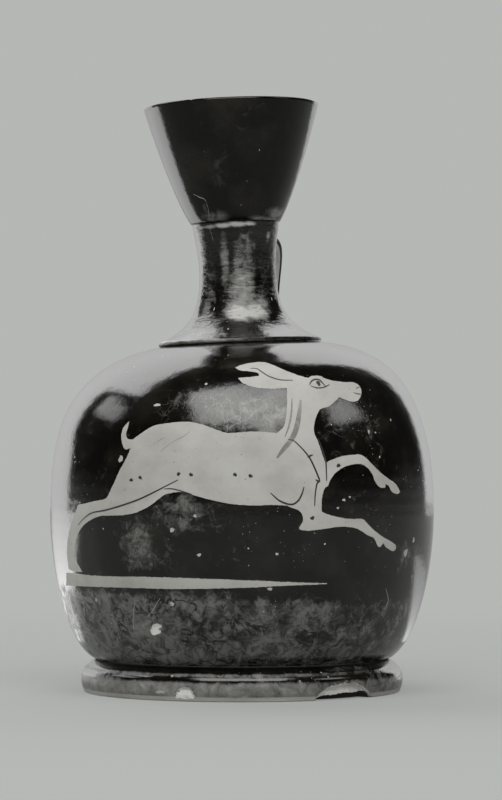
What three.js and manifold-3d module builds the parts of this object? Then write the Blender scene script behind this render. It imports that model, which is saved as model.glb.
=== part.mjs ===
// A squat lekythos, a wheel-thrown oil flask: a turned ring foot, a broad body, a waisted neck,
// a flaring mouth and a strap handle, each made by itself and luted to the next with clay slip.
// Millimetres, +Z up. The origin is the centre of the resting face, and the front faces -Y.
import * as THREE from "three";
import { mergeVertices } from "three/addons/utils/BufferGeometryUtils.js";
import Module from "manifold-3d";

const wasm = await Module();
wasm.setup();

const point = (radius, height) => new THREE.Vector2(radius, height);

// Luted joints
const slipGap = 0.3; // thickness of the slip between two pieces
const waistRadius = 35.4; // where the foot and the body meet

// Foot, with heights from the resting face
const footRadius = 38.0; // at the resting edge
const footHeight = 8.0; // to the underside of the body
const footEdgeRound = 0.5;
const footSideHeight = 5.0; // upright outer face
const footSideSwell = 1.0; // pull of that face outwards at its middle
const footSideTopOut = 0.25; // how far its top stands out past the resting edge
const footShoulderPull = point(-1.15, 1.65); // bend of the slope above the upright face
const footRestWidth = 7.0; // of the ring that stands on the table
const footRecessTaper = 2.6; // how far the recess beneath narrows upwards

// Flake broken out of the foot
const chipTurn = THREE.MathUtils.degToRad(38); // from the front towards +X
const chipLength = 17.0;
const chipHeight = 3.5;
const chipDepth = 3.4;
const chipTilt = THREE.MathUtils.degToRad(12);

// Body, with rises from its underside
const bellyRadius = 46.1;
const bellyRise = 35.0;
const lowerSwell = point(6.1, 2.5); // pull of the curve as it leaves the foot
const lowerUpright = 15.0; // pull of the curve below the belly
const upperUpright = 19.4; // pull of the curve above the belly
const shoulderPull = point(-22.3, 2.9); // pull of the curve as it nears the neck
const seatRise = 74.8; // of the flat place that carries the neck
const bodyWall = 3.2;
const floorThickness = 4.0;
const floorRound = 8.0; // of the corner between wall and floor inside

// Lean of everything above the shoulder, towards -X
const leanAngle = THREE.MathUtils.degToRad(2.2);
const leanLength = 18.0; // height over which the shoulder bends into the lean
const leanEndDrop = 2.8; // from the neck's seat down to where the bend ends

// Neck, with heights from its seat on the shoulder
const boreRadius = 6.0;
const ringRadius = 19.6; // upright edge of the step round the neck's base
const ringHeight = 1.2;
const ringEdgeRound = 0.3;
const flarePull = point(-7.8, 3.0); // pull of the flare as it leaves the step
const neckLowerPull = 8.9;
const neckUpperPull = 4.2;
const neckWaistRadius = 9.3;
const neckWaistHeight = 18.0;
const neckTopPull = point(0.3, 2.4);
const neckTopRadius = 10.5;
const neckHeight = 29.0;

// Mouth, with heights from the top of the neck
const mouthLip = 0.3; // how far the mouth's base stands out over the neck
const mouthRadius = 21.1;
const mouthHeight = 28.7;
const mouthLowerPull = point(3.1, 4.6);
const mouthUpperPull = point(2.6, 9.4);
const rimWall = 2.5;
const rimRound = 0.6;
const rimDip = 0.4; // the lip falls this far inwards
const cupFloorHeight = 4.6; // where the cup opens out of the bore
const cupLowerPull = point(6.0, 2.4);
const cupUpperPull = point(2.6, 10.0);

// Handle, in an upright plane through the neck's axis
const handleTurn = THREE.MathUtils.degToRad(6.3); // of that plane from the back towards +X
const handleTopDrop = 5.2; // from the neck's top down to the middle of the upper root
const handleRootDepth = 6.4; // from the neck's surface to the buried end
const handleTopPull = point(15.0, 5.4); // pull of the strap as it leaves the neck
const handleBendPull = 10.5; // how sharply it turns down
const handleBendHeight = 12.7; // above the neck's seat, where it hangs upright
const handleReach = 27.5; // from the axis to the middle of the upright strap
const handleLowerPull = 7.0;
const handleFootPull = point(0.6, -6.0);
const handleFootReach = 29.0;
const handleFootDepth = 8.0; // buried below the neck's seat

// Strap, from the neck to the shoulder
const strapThickness = 4.2;
const strapRootWidth = 13.6; // inside the neck
const strapArchWidth = 17.6; // where it bends over
const strapWaistWidth = 14.0; // where it hangs upright
const strapFootWidth = 20.6; // pressed on to the shoulder
const strapSquareness = 0.7; // 1 is an oval section, less has squarer sides
const strapInnerShare = 0.82; // flatness of the side towards the neck

// Facets round each piece
const bodyFacets = 64;
const footFacets = 64;
const neckFacets = 40;
const mouthFacets = 48;
const strapFacets = 16;
const flakeFacets = 20;

// Steps along each curve
const strapSteps = 24;
const spineSteps = 40;
const lowerWallSteps = 8;
const shoulderSteps = 12;
const innerWallSteps = 8;
const flareSteps = 10;
const neckTopSteps = 5;
const mouthSteps = 11;
const cupSteps = 9;
const faceSteps = 4;
const edgeSteps = 3;
const mergeDistance = 1e-4;

const closed = (profile) => [...profile, profile[0].clone()];

// A curve that leaves its start along the first pull and arrives at its end along the second.
function curve(start, startPull, endPull, end) {
  return new THREE.CubicBezierCurve(start, start.clone().add(startPull), end.clone().sub(endPull), end);
}

// Points of a curve moved sideways, to the left of its direction where the distance is positive.
function shifted(line, distance, steps) {
  return Array.from({ length: steps + 1 }, (_, i) => {
    const along = line.getTangent(i / steps);
    return line.getPoint(i / steps).add(point(-along.y, along.x).multiplyScalar(distance));
  });
}

function rounded(centre, radius, startAngle, endAngle) {
  const arc = new THREE.EllipseCurve(centre.x, centre.y, radius, radius, startAngle, endAngle);
  return arc.getPoints(edgeSteps);
}

// Turns a profile of radius and height about Z.
function turned(profile, facets) {
  return new THREE.LatheGeometry(profile, facets).rotateX(Math.PI / 2);
}

function solidFrom(geometry) {
  const bare = new THREE.BufferGeometry().setAttribute("position", geometry.getAttribute("position"));
  if (geometry.index) bare.setIndex(geometry.index);
  const merged = mergeVertices(bare, mergeDistance);
  return new wasm.Manifold(
    new wasm.Mesh({
      numProp: 3,
      vertProperties: merged.getAttribute("position").array,
      triVerts: new Uint32Array(merged.index.array),
    }),
  );
}

function geometryFrom(solid) {
  const mesh = solid.getMesh();
  return new THREE.BufferGeometry()
    .setAttribute("position", new THREE.BufferAttribute(mesh.vertProperties, 3))
    .setIndex(new THREE.BufferAttribute(mesh.triVerts, 1));
}

// Joins rings of equally many points into one closed bar with flat ends.
function loft(rings) {
  const sides = rings[0].length;
  const lastRing = (rings.length - 1) * sides;
  const middle = (ring) => ring.reduce((sum, p) => sum.add(p), new THREE.Vector3()).divideScalar(sides);
  const points = [...rings.flat(), middle(rings[0]), middle(rings[rings.length - 1])];
  const [startCentre, endCentre] = [points.length - 2, points.length - 1];
  const faces = [];
  for (let s = 0; s < sides; s++) {
    const next = (s + 1) % sides;
    for (let ring = 0; ring < lastRing; ring += sides) {
      const a = ring + s;
      const b = ring + next;
      faces.push(a, b + sides, b, a, a + sides, b + sides);
    }
    faces.push(startCentre, s, next, endCentre, lastRing + next, lastRing + s);
  }
  return new THREE.BufferGeometry().setFromPoints(points).setIndex(faces);
}

const bellyHeight = footHeight + bellyRise;
const seatHeight = footHeight + seatRise;
const leanEnd = seatHeight - leanEndDrop;
const leanStart = leanEnd - leanLength;
const leanAt = (height) => leanAngle * THREE.MathUtils.smoothstep(height, leanStart, leanEnd);

// The flask's bent centre line, at a height counted along it.
function spineAt(height) {
  const start = Math.min(height, leanStart);
  const slice = (height - start) / spineSteps;
  const place = new THREE.Vector3(0, 0, start);
  for (let i = 0; i < spineSteps; i++) {
    const lean = leanAt(start + (i + 0.5) * slice);
    place.x -= Math.sin(lean) * slice;
    place.z += Math.cos(lean) * slice;
  }
  return place;
}

function leaned(geometry) {
  const places = geometry.getAttribute("position");
  for (let i = 0; i < places.count; i++) {
    const x = places.getX(i);
    const spine = spineAt(places.getZ(i));
    const lean = leanAt(places.getZ(i));
    places.setX(i, spine.x + x * Math.cos(lean));
    places.setZ(i, spine.z + x * Math.sin(lean));
  }
  return geometry;
}

// A flake struck from the foot's resting edge.
function chipSolid() {
  const flake = new THREE.SphereGeometry(1, flakeFacets, flakeFacets);
  flake.scale(chipLength / 2, chipDepth, chipHeight);
  flake.rotateX(-chipTilt);
  flake.translate(0, -footRadius, 0);
  flake.rotateZ(chipTurn);
  return solidFrom(flake);
}

function footGeometry() {
  const restInner = footRadius - footRestWidth;
  const top = footHeight - slipGap;
  const sideTop = point(footRadius + footSideTopOut, footSideHeight);
  const side = new THREE.QuadraticBezierCurve(
    point(footRadius, footEdgeRound),
    point(footRadius + footSideSwell, footSideHeight / 2),
    sideTop,
  );
  const slope = new THREE.QuadraticBezierCurve(
    sideTop,
    sideTop.clone().add(footShoulderPull),
    point(waistRadius, top),
  );
  const edgeCentre = point(footRadius - footEdgeRound, footEdgeRound);
  const profile = [
    point(restInner, 0),
    ...rounded(edgeCentre, footEdgeRound, -Math.PI / 2, 0),
    ...side.getPoints(faceSteps).slice(1),
    ...slope.getPoints(faceSteps).slice(1),
    point(restInner - footRecessTaper, top),
  ];
  const ring = solidFrom(turned(closed(profile), footFacets));
  return geometryFrom(ring.subtract(chipSolid()));
}

const lowerWall = curve(
  point(waistRadius, footHeight),
  lowerSwell,
  point(0, lowerUpright),
  point(bellyRadius, bellyHeight),
);
const upperWall = curve(
  point(bellyRadius, bellyHeight),
  point(0, upperUpright),
  shoulderPull,
  point(ringRadius, seatHeight),
);

function bodyGeometry() {
  const floorTop = footHeight + floorThickness;
  const innerLower = shifted(lowerWall, bodyWall, innerWallSteps)
    .filter((p) => p.y > floorTop + floorRound)
    .reverse();
  const cornerStart = innerLower[innerLower.length - 1];
  const corner = new THREE.QuadraticBezierCurve(
    cornerStart,
    point(cornerStart.x, floorTop),
    point(cornerStart.x - floorRound, floorTop),
  );
  const profile = [
    point(0, footHeight),
    ...lowerWall.getPoints(lowerWallSteps),
    ...upperWall.getPoints(shoulderSteps).slice(1),
    point(boreRadius, seatHeight),
    point(boreRadius, seatHeight - bodyWall),
    ...shifted(upperWall, bodyWall, innerWallSteps).reverse(),
    ...innerLower.slice(1),
    ...corner.getPoints(faceSteps).slice(1),
    point(0, floorTop),
  ];
  return leaned(turned(profile, bodyFacets));
}

// The body filled and grown by the slip, which the handle's foot is cut to.
function bodyEnvelope() {
  const profile = [
    point(0, footHeight),
    ...shifted(lowerWall, -slipGap, lowerWallSteps),
    ...shifted(upperWall, -slipGap, shoulderSteps).slice(1),
    point(0, seatHeight + slipGap),
  ];
  return leaned(turned(profile, bodyFacets));
}

const flare = curve(
  point(ringRadius - ringEdgeRound, ringHeight),
  flarePull,
  point(0, neckLowerPull),
  point(neckWaistRadius, neckWaistHeight),
);
const neckRise = curve(
  point(neckWaistRadius, neckWaistHeight),
  point(0, neckUpperPull),
  neckTopPull,
  point(neckTopRadius, neckHeight),
);

function neckGeometry() {
  const edgeCentre = point(ringRadius - ringEdgeRound, ringHeight - ringEdgeRound);
  const profile = [
    point(boreRadius, slipGap),
    point(ringRadius, slipGap),
    ...rounded(edgeCentre, ringEdgeRound, 0, Math.PI / 2),
    ...flare.getPoints(flareSteps).slice(1),
    ...neckRise.getPoints(neckTopSteps).slice(1),
    point(boreRadius, neckHeight),
  ];
  return turned(closed(profile), neckFacets);
}

// The neck filled and grown by the slip, which the handle's upper end is cut to.
function neckEnvelope() {
  const profile = [
    point(0, 0),
    point(ringRadius + slipGap, 0),
    ...shifted(flare, -slipGap, flareSteps),
    ...shifted(neckRise, -slipGap, neckTopSteps).slice(1),
    point(0, neckHeight),
  ];
  return turned(profile, neckFacets);
}

function mouthGeometry() {
  const base = neckHeight + slipGap;
  const rimTop = neckHeight + mouthHeight;
  const outside = curve(
    point(neckTopRadius + mouthLip, base),
    mouthLowerPull,
    mouthUpperPull,
    point(mouthRadius, rimTop - rimRound),
  );
  const innerEdge = point(mouthRadius - rimWall, rimTop - rimDip - rimRound);
  const cup = curve(
    innerEdge,
    cupUpperPull.clone().negate(),
    cupLowerPull.clone().negate(),
    point(boreRadius, neckHeight + cupFloorHeight),
  );
  const profile = [
    point(boreRadius, base),
    ...outside.getPoints(mouthSteps),
    ...rounded(point(mouthRadius - rimRound, rimTop - rimRound), rimRound, 0, Math.PI / 2).slice(1),
    point(innerEdge.x + rimRound, rimTop - rimDip),
    ...cup.getPoints(cupSteps),
  ];
  return turned(closed(profile), mouthFacets);
}

// The strap's middle line: out of the neck, over and down into the shoulder.
const strapPath = new THREE.CurvePath();
strapPath.add(
  curve(
    point(neckTopRadius - handleRootDepth, neckHeight - handleTopDrop),
    handleTopPull,
    point(0, -handleBendPull),
    point(handleReach, handleBendHeight),
  ),
);
strapPath.add(
  curve(
    point(handleReach, handleBendHeight),
    point(0, -handleLowerPull),
    handleFootPull,
    point(handleFootReach, -handleFootDepth),
  ),
);

// The strap's width at even shares of its length.
const strapWidths = new THREE.SplineCurve(
  [strapRootWidth, strapArchWidth, strapWaistWidth, strapFootWidth].map((width, i) => point(i, width)),
);

// The strap's section at a share of its length, with its crowned side away from the neck.
function strapSection(share) {
  const centre = strapPath.getPointAt(share);
  const along = strapPath.getTangentAt(share);
  const halfWidth = strapWidths.getPoint(share).y / 2;
  return Array.from({ length: strapFacets }, (_, i) => {
    const angle = (i / strapFacets) * 2 * Math.PI;
    const across = Math.sign(Math.cos(angle)) * Math.abs(Math.cos(angle)) ** strapSquareness;
    const crown = Math.sin(angle) * (Math.sin(angle) > 0 ? 1 : strapInnerShare);
    const lift = (crown * strapThickness) / 2;
    return new THREE.Vector3(across * halfWidth, centre.x - lift * along.y, centre.y + lift * along.x);
  });
}

// The strap, pulled as one bar and cut where it meets the neck and the shoulder.
function handleGeometry(neckFrame) {
  const rings = Array.from({ length: strapSteps + 1 }, (_, i) => strapSection(i / strapSteps));
  const toHandle = new THREE.Matrix4().makeRotationZ(handleTurn);
  const neck = solidFrom(neckEnvelope().applyMatrix4(toHandle));
  const shoulder = solidFrom(bodyEnvelope().applyMatrix4(neckFrame.clone().invert()).applyMatrix4(toHandle));
  const pieces = solidFrom(loft(rings)).subtract(neck).subtract(shoulder).decompose();
  return geometryFrom(pieces.reduce((best, piece) => (piece.volume() > best.volume() ? piece : best)));
}

function named(name, geometry) {
  const mesh = new THREE.Mesh(geometry, gloss.clone());
  mesh.name = name;
  return mesh;
}

const gloss = new THREE.MeshStandardMaterial({ color: 0x15140f, roughness: 0.25, metalness: 0 });

const neckGroup = new THREE.Group();
neckGroup.position.copy(spineAt(seatHeight));
neckGroup.rotation.y = -leanAngle;
neckGroup.updateMatrix();

const handle = named("handle", handleGeometry(neckGroup.matrix));
handle.rotation.z = -handleTurn;
neckGroup.add(named("neck", neckGeometry()), named("mouth", mouthGeometry()), handle);

const flask = new THREE.Group();
flask.add(named("foot", footGeometry()), named("body", bodyGeometry()), neckGroup);

export default flask;
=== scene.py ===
import math
import random

import bmesh
import bpy
import numpy as np
from mathutils import Matrix, Vector
from mathutils.geometry import delaunay_2d_cdt


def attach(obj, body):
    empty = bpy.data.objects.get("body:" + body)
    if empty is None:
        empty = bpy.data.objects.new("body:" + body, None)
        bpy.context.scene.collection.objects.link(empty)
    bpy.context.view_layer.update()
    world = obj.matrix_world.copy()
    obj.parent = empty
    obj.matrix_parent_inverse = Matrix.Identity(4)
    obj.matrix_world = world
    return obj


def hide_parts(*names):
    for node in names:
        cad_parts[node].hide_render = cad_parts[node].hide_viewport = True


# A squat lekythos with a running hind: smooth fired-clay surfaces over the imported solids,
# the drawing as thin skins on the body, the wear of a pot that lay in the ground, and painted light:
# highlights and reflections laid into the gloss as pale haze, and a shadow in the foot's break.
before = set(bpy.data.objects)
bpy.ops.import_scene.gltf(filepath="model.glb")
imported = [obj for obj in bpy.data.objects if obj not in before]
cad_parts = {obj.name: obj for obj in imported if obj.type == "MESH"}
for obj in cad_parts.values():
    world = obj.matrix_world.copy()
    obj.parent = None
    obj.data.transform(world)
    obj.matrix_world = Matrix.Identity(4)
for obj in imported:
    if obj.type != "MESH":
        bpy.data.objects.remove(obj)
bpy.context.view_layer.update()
mm = 0.001
skinInset = 0.06 * mm  # keeps the drawing, which stands proud of the gloss, inside the solids' box

# Camera, at the photograph's angle
photoView = {
    "width": 502,
    "height": 800,
    "distance": 797 * mm,  # from the flask's axis
    "eyeHeight": 58.8 * mm,
    "eyeAside": 2.16 * mm,
    "aimHeight": 69.6 * mm,
    "sensor": 36.0,
    "lens": 149.4,
}


def intoScene(name, data):
    made = bpy.data.objects.new(name, data)
    bpy.context.scene.collection.objects.link(made)
    return made


def makeCamera(view):
    data = bpy.data.cameras.new("photoCamera")
    data.sensor_width, data.lens = view["sensor"], view["lens"]
    camera = intoScene("photoCamera", data)
    camera.location = (view["eyeAside"], -view["distance"], view["eyeHeight"])
    aim = Vector((view["eyeAside"], 0, view["aimHeight"])) - camera.location
    camera.rotation_mode = "QUATERNION"
    camera.rotation_quaternion = aim.to_track_quat("-Z", "Y")
    bpy.context.scene.camera = camera
    return camera


camera = makeCamera(photoView)
eye = np.array(camera.location)
eyeTurn = np.array(camera.rotation_quaternion.to_matrix())
print("camera placed")


# Sight lines through points of the photograph
def raysThrough(points):
    points = np.asarray(points, float)
    focal = photoView["lens"] / photoView["sensor"] * photoView["height"]
    across = (points[:, 0] - photoView["width"] / 2) / focal
    up = (photoView["height"] / 2 - points[:, 1]) / focal
    rays = np.stack([across, up, -np.ones(len(points))], axis=1) @ eyeTurn.T
    return rays / np.linalg.norm(rays, axis=1)[:, None]


# Curves
def pull(across, up):
    return np.array([across, up]) * mm


def bezier(start, startPull, endPull, end, steps):
    t = np.linspace(0, 1, steps + 1)[:, None]
    a, d = np.array(start), np.array(end)
    b, c = a + startPull, d - endPull
    return (1 - t) ** 3 * a + 3 * (1 - t) ** 2 * t * b + 3 * (1 - t) * t**2 * c + t**3 * d


def bend(start, middle, end, steps):
    t = np.linspace(0, 1, steps + 1)[:, None]
    a, b, c = (np.array(p) for p in (start, middle, end))
    return (1 - t) ** 2 * a + 2 * (1 - t) * t * b + t**2 * c


def rounded(centre, radius, startAngle, endAngle, steps=6):
    t = np.radians(np.linspace(startAngle, endAngle, steps + 1))
    return np.array(centre) + radius * np.stack([np.cos(t), np.sin(t)], axis=1)


# Steps of length 1 across a flat line, to its left
def sideways(line):
    along = np.gradient(line, axis=0)
    along /= np.maximum(np.linalg.norm(along, axis=1), 1e-9)[:, None]
    return np.stack([-along[:, 1], along[:, 0]], axis=1)


# A smooth run through evenly spaced values, at a share of its length
def throughAt(values, share):
    place = share * (len(values) - 1)
    i = min(int(place), len(values) - 2)
    t = place - i
    a, b, c, d = (values[min(max(i + k, 0), len(values) - 1)] for k in (-1, 0, 1, 2))
    near, far = (c - a) / 2, (d - b) / 2
    return b + near * t + (3 * (c - b) - 2 * near - far) * t**2 + (2 * (b - c) + near + far) * t**3


def lengthsOf(line):
    return np.concatenate([[0], np.cumsum(np.linalg.norm(np.diff(line, axis=0), axis=1))])


# Catmull-Rom through the points, cut into steps
def smoothLine(points, step):
    points = np.asarray(points, float)
    padded = np.vstack([2 * points[0] - points[1], points, 2 * points[-1] - points[-2]])
    found = [points[0]]
    for i in range(1, len(padded) - 2):
        a, b, c, d = padded[i - 1], padded[i], padded[i + 1], padded[i + 2]
        count = max(1, int(np.ceil(np.linalg.norm(c - b) / step)))
        for t in np.arange(1, count + 1) / count:
            found.append(0.5 * (2 * b + (c - a) * t + (2 * a - 5 * b + 4 * c - d) * t**2
                                + (3 * b - a - 3 * c + d) * t**3))
    return np.array(found)


# Lean of the neck and mouth, towards -X
lean = {
    "angle": math.radians(2.2),
    "start": 62.0 * mm,
    "end": 80.0 * mm,
    "seat": 82.8 * mm,  # where the neck stands on the shoulder
}


def leanAt(height):
    share = np.clip((height - lean["start"]) / (lean["end"] - lean["start"]), 0, 1)
    return lean["angle"] * share**2 * (3 - 2 * share)


spineHeights = np.linspace(lean["start"], 90 * mm, 400)
spineSlices = np.gradient(spineHeights)
spineAside = -np.concatenate([[0], np.cumsum(np.sin(leanAt(spineHeights)) * spineSlices)[:-1]])
spineUp = spineHeights[0] + np.concatenate([[0], np.cumsum(np.cos(leanAt(spineHeights)) * spineSlices)[:-1]])


def spineAt(height):
    aside = np.interp(height, spineHeights, spineAside)
    up = np.where(height < lean["start"], height, np.interp(height, spineHeights, spineUp))
    return aside, up


# A place at x, y and a height above a point of the spine
def placeOn(spot, angle, x, y, height):
    cosine, sine = np.cos(angle), np.sin(angle)
    return np.stack([spot[0] + x * cosine - height * sine, y, spot[1] + x * sine + height * cosine], axis=-1)


def placeOnBody(x, y, height):
    return placeOn(spineAt(height), leanAt(height), x, y, 0.0)


def placeOnNeck(x, y, height):
    return placeOn(spineAt(np.array(lean["seat"])), lean["angle"], x, y, height)


# The way back: x, y and height of places above a point of the spine
def offSpine(spot, angle, places):
    across, rise = places[..., 0] - spot[0], places[..., 2] - spot[1]
    cosine, sine = np.cos(angle), np.sin(angle)
    return across * cosine + rise * sine, places[..., 1], rise * cosine - across * sine


def offBody(places):
    height = places[..., 2].copy()
    for _ in range(4):
        height = height + offSpine(spineAt(height), leanAt(height), places)[2]
    x, y, _ = offSpine(spineAt(height), leanAt(height), places)
    return x, y, height


def offNeck(places):
    return offSpine(spineAt(np.array(lean["seat"])), lean["angle"], places)


# The thrower's hand: a faint unevenness that only ever takes clay away
handWobble = {"depth": 0.07 * mm, "ringPitch": 3.1 * mm, "spiral": 1.3, "rings": 0.14, "slow": 0.18,
              "twists": (90, 60)}


def wobble(angle, height):
    rings = np.sin(2 * np.pi * height / handWobble["ringPitch"] + handWobble["spiral"] * np.sin(angle))
    one, other = handWobble["twists"]
    slow = np.sin(2 * angle + height * one) + np.sin(3 * angle - height * other + 1)
    return handWobble["depth"] * (0.5 + handWobble["rings"] * rings + handWobble["slow"] * slow)


# Meshes
def newPiece(name, vertices, faces, materials, faceMaterials=None, smooth=True):
    mesh = bpy.data.meshes.new(name)
    mesh.from_pydata([tuple(v) for v in vertices], [], [tuple(f) for f in faces])
    for material in materials:
        mesh.materials.append(material)
    if faceMaterials is not None:
        mesh.polygons.foreach_set("material_index", faceMaterials)
    mesh.polygons.foreach_set("use_smooth", [smooth] * len(mesh.polygons))
    mesh.validate()
    return intoScene(name, mesh)


# Turns a profile of radius and height, which starts and ends on the axis or closes on itself
def turnedPiece(name, profile, sides, place, materials, rowKinds=None, inset=skinInset):
    profile = np.asarray(profile, float)
    onAxis = profile[0][0] < 1e-7
    count = len(profile)
    angles = np.arange(sides) * 2 * np.pi / sides
    vertices, rings = [], []
    for radius, height in profile:
        if radius < 1e-7:
            rings.append([len(vertices)] * sides)
            vertices.append(place(np.array(0.0), np.array(0.0), np.array(height)))
            continue
        rings.append(list(range(len(vertices), len(vertices) + sides)))
        r = radius - wobble(angles, height) - inset
        vertices.extend(place(r * np.sin(angles), -r * np.cos(angles), np.full(sides, height)))
    faces, kinds = [], []
    for i in range(count - 1 if onAxis else count):
        low, high = rings[i], rings[(i + 1) % count]
        for s in range(sides):
            n = (s + 1) % sides
            corners = [low[s], low[n], high[n], high[s]]
            face = [v for k, v in enumerate(corners) if v not in corners[:k]]
            if len(face) > 2:
                faces.append(face)
                kinds.append(0 if rowKinds is None else rowKinds[i])
    return newPiece(name, vertices, faces, materials, kinds)


# The piece rides with the flask and stands for its solid, which it hides
def settle(piece, replaced=None):
    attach(piece, "root")
    if replaced:
        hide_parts(replaced)
    return piece


# A node whose inputs are plain values, other nodes or their outputs
def addNode(tree, kind, inputs=None, **settings):
    made = tree.nodes.new("ShaderNode" + kind)
    for key, value in settings.items():
        setattr(made, key, value)
    for key, value in (inputs or {}).items():
        source = value.outputs[0] if isinstance(value, bpy.types.Node) else value
        if isinstance(source, bpy.types.NodeSocket):
            tree.links.new(source, made.inputs[key])
        else:
            made.inputs[key].default_value = source
    return made


# A material, its nodes and the object's own coordinates
def newMaterial(name):
    material = bpy.data.materials.new(name)
    material.use_nodes = True
    tree = material.node_tree
    tree.nodes.clear()
    return material, tree, addNode(tree, "TexCoord").outputs["Object"]


def shownBy(material, shader):
    addNode(material.node_tree, "OutputMaterial", {"Surface": shader})
    return material


def noiseNode(tree, place, scale, detail=4.0, roughness=0.55, distortion=0.0):
    return addNode(tree, "TexNoise", {
        "Vector": place, "Scale": scale, "Detail": detail, "Roughness": roughness, "Distortion": distortion})


def rangeNode(tree, source, low, high, toLow=0.0, toHigh=1.0, course="SMOOTHSTEP"):
    return addNode(tree, "MapRange", {
        "Value": source, "From Min": low, "From Max": high, "To Min": toLow, "To Max": toHigh},
        interpolation_type=course)


def mathNode(tree, operation, first, second=0.0):
    return addNode(tree, "Math", {0: first, 1: second}, operation=operation)


def times(tree, first, second):
    return mathNode(tree, "MULTIPLY", first, second)


def mixNode(tree, amount, first, second):
    return addNode(tree, "Mix", {0: amount, 6: first, 7: second}, data_type="RGBA").outputs[2]


def bumpNode(tree, height, strength, depth):
    return addNode(tree, "Bump", {"Height": height, "Strength": strength, "Distance": depth})


glossLook = {
    "black": (0.0022, 0.0020, 0.0015, 1),
    "brown": (0.010, 0.0090, 0.0066, 1),
    "hazeAndHighlight": (0.150, 0.149, 0.139, 1),  # thin lime and worn places, and painted highlights and reflections
    # also the brightest painted highlights and the pale crack lines of a painted reflection
    "limeAndHighlight": (0.32, 0.318, 0.30, 1),
    "bare": (0.36, 0.355, 0.33, 1),  # clay where the gloss has pitted away
    "roughness": (0.11, 0.5),  # sound, and where the haze lies
    "bump": (0.5, 0.07 * mm),
    "brownScale": 110.0,
    "brownRange": (0.42, 0.75),
    "fineScale": 360.0,
    "fineShare": 1.3,
    "cloudScale": 140.0,
    "cloudShare": 0.45,
    "hazeRange": (1.0, 1.58),  # of the noises and the wear and highlight values together
    "limeRange": (1.45, 1.95),
    "rootScale": 150.0,
    "rootWidth": 0.03,
    "veinScale": 520.0,
    "veinWidth": 0.04,
    "veinShare": 0.45,
    "rootPatches": 110.0,
    "patchRange": (0.38, 0.56),
    "netScale": 520.0,
    "netWarp": 2.4,  # in cells
    "netLine": (0.01, 0.05, 0.6),  # full and faded width, strength
    "netRange": (0.42, 0.6),
    "pitScales": (360.0, 820.0),
    "pitSizes": (0.04, 0.09),
    "pitPatches": 75.0,
    "pitRange": (0.97, 1.07),
    "pitDepth": -0.5,
    "crackleScale": 480.0,
    "turningScale": 220.0,
    "turningStretch": 5.5,  # turning marks are this much longer round the neck than high
    "turningPatches": 160.0,
    "turningRange": (0.35, 0.65),
    "turningLeast": 0.25,
    "streaks": 2.3,  # how much turning marks break up the haze and its painted highlights
}


# Thin lines where a noise crosses its middle
def lineNode(tree, place, scale, detail, distortion, width):
    found = noiseNode(tree, place, scale, detail, 0.6, distortion)
    ridge = mathNode(tree, "ABSOLUTE", mathNode(tree, "SUBTRACT", found, 0.5))
    return rangeNode(tree, ridge, width * 0.3, width, 1.0, 0.0)


# An uneven net of fine lines
def netNode(tree, place, look):
    scale = look["netScale"]
    colours = noiseNode(tree, place, scale * 0.6, 3.0).outputs["Color"]
    warp = look["netWarp"] / scale
    shift = addNode(tree, "VectorMath", {0: colours, "Scale": warp}, operation="SCALE")
    moved = addNode(tree, "VectorMath", {0: place, 1: shift}, operation="ADD")
    cells = addNode(tree, "TexVoronoi", {"Vector": moved, "Scale": scale}, feature="DISTANCE_TO_EDGE")
    whole = rangeNode(tree, noiseNode(tree, place, scale * 0.4, 2.0), *look["netRange"])
    return times(tree, rangeNode(tree, cells, *look["netLine"], 0.0), whole)


# The point values say where lime and painted highlights, pale crack lines of a painted reflection, root marks
# and pits lie
def markNode(tree, name, operation, other):
    mark = addNode(tree, "Attribute", attribute_name=name)
    return mathNode(tree, operation, mark.outputs["Fac"], other)


def pitNode(tree, place, look):
    spots = 0.0
    for scale in look["pitScales"]:
        cells = addNode(tree, "TexVoronoi", {"Vector": place, "Scale": scale, "Randomness": 1.0})
        spots = mathNode(tree, "MAXIMUM", spots, rangeNode(tree, cells, *look["pitSizes"], 1.0, 0.0))
    patchy = markNode(tree, "pits", "ADD", noiseNode(tree, place, look["pitPatches"], 2.0))
    return times(tree, spots, rangeNode(tree, patchy, *look["pitRange"]))


def turningNode(tree, place, look):
    stretched = addNode(tree, "Mapping", {"Vector": place, "Scale": (1, 1, look["turningStretch"])})
    return noiseNode(tree, stretched, look["turningScale"], 5.0, 0.65, 1.1)
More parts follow.
